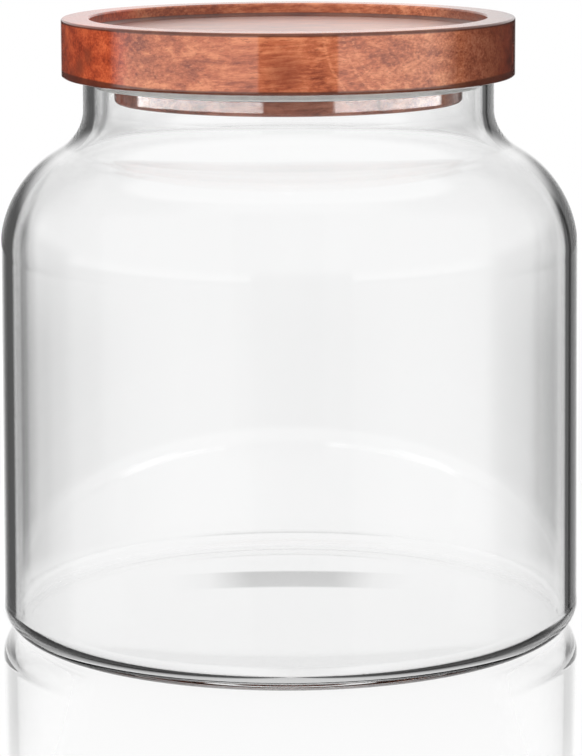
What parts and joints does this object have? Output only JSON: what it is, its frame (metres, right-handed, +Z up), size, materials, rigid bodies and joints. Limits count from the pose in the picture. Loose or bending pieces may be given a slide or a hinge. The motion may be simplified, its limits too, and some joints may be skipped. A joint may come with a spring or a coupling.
{
  "type": "glass storage jar",
  "caption": "Wide round glass storage jar with a drawn-in neck and a lift-off turned wooden lid that seals with a silicone ring.",
  "frame": {"origin": "middle of the flat ring that the jar stands on, in the plane of the table", "axes": "+Z up, along the axis of the jar; the object is round, so X and Y may be any two level directions"},
  "size_m": [0.1486, 0.1486, 0.1564],
  "materials": {
    "clear_glass": "smooth clear soda-lime glass, mould-blown, with a fire-polished lip",
    "lid_wood": "turned red-brown hardwood under a satin varnish",
    "plug_wood": "the same hardwood, a little darker, under the same varnish",
    "clear_silicone": "translucent whitish silicone rubber, matte"
  },
  "bodies": {
    "jar": {"jar": "clear_glass"},
    "lid": {"lid": "lid_wood", "plug": "plug_wood", "seal_ring": "clear_silicone"}
  },
  "joints": [
    {"name": "lid_lift", "type": "slide", "parent": "jar", "child": "lid", "axis": [0, 0, 1], "range_m": [0, 0.04]}
  ]
}
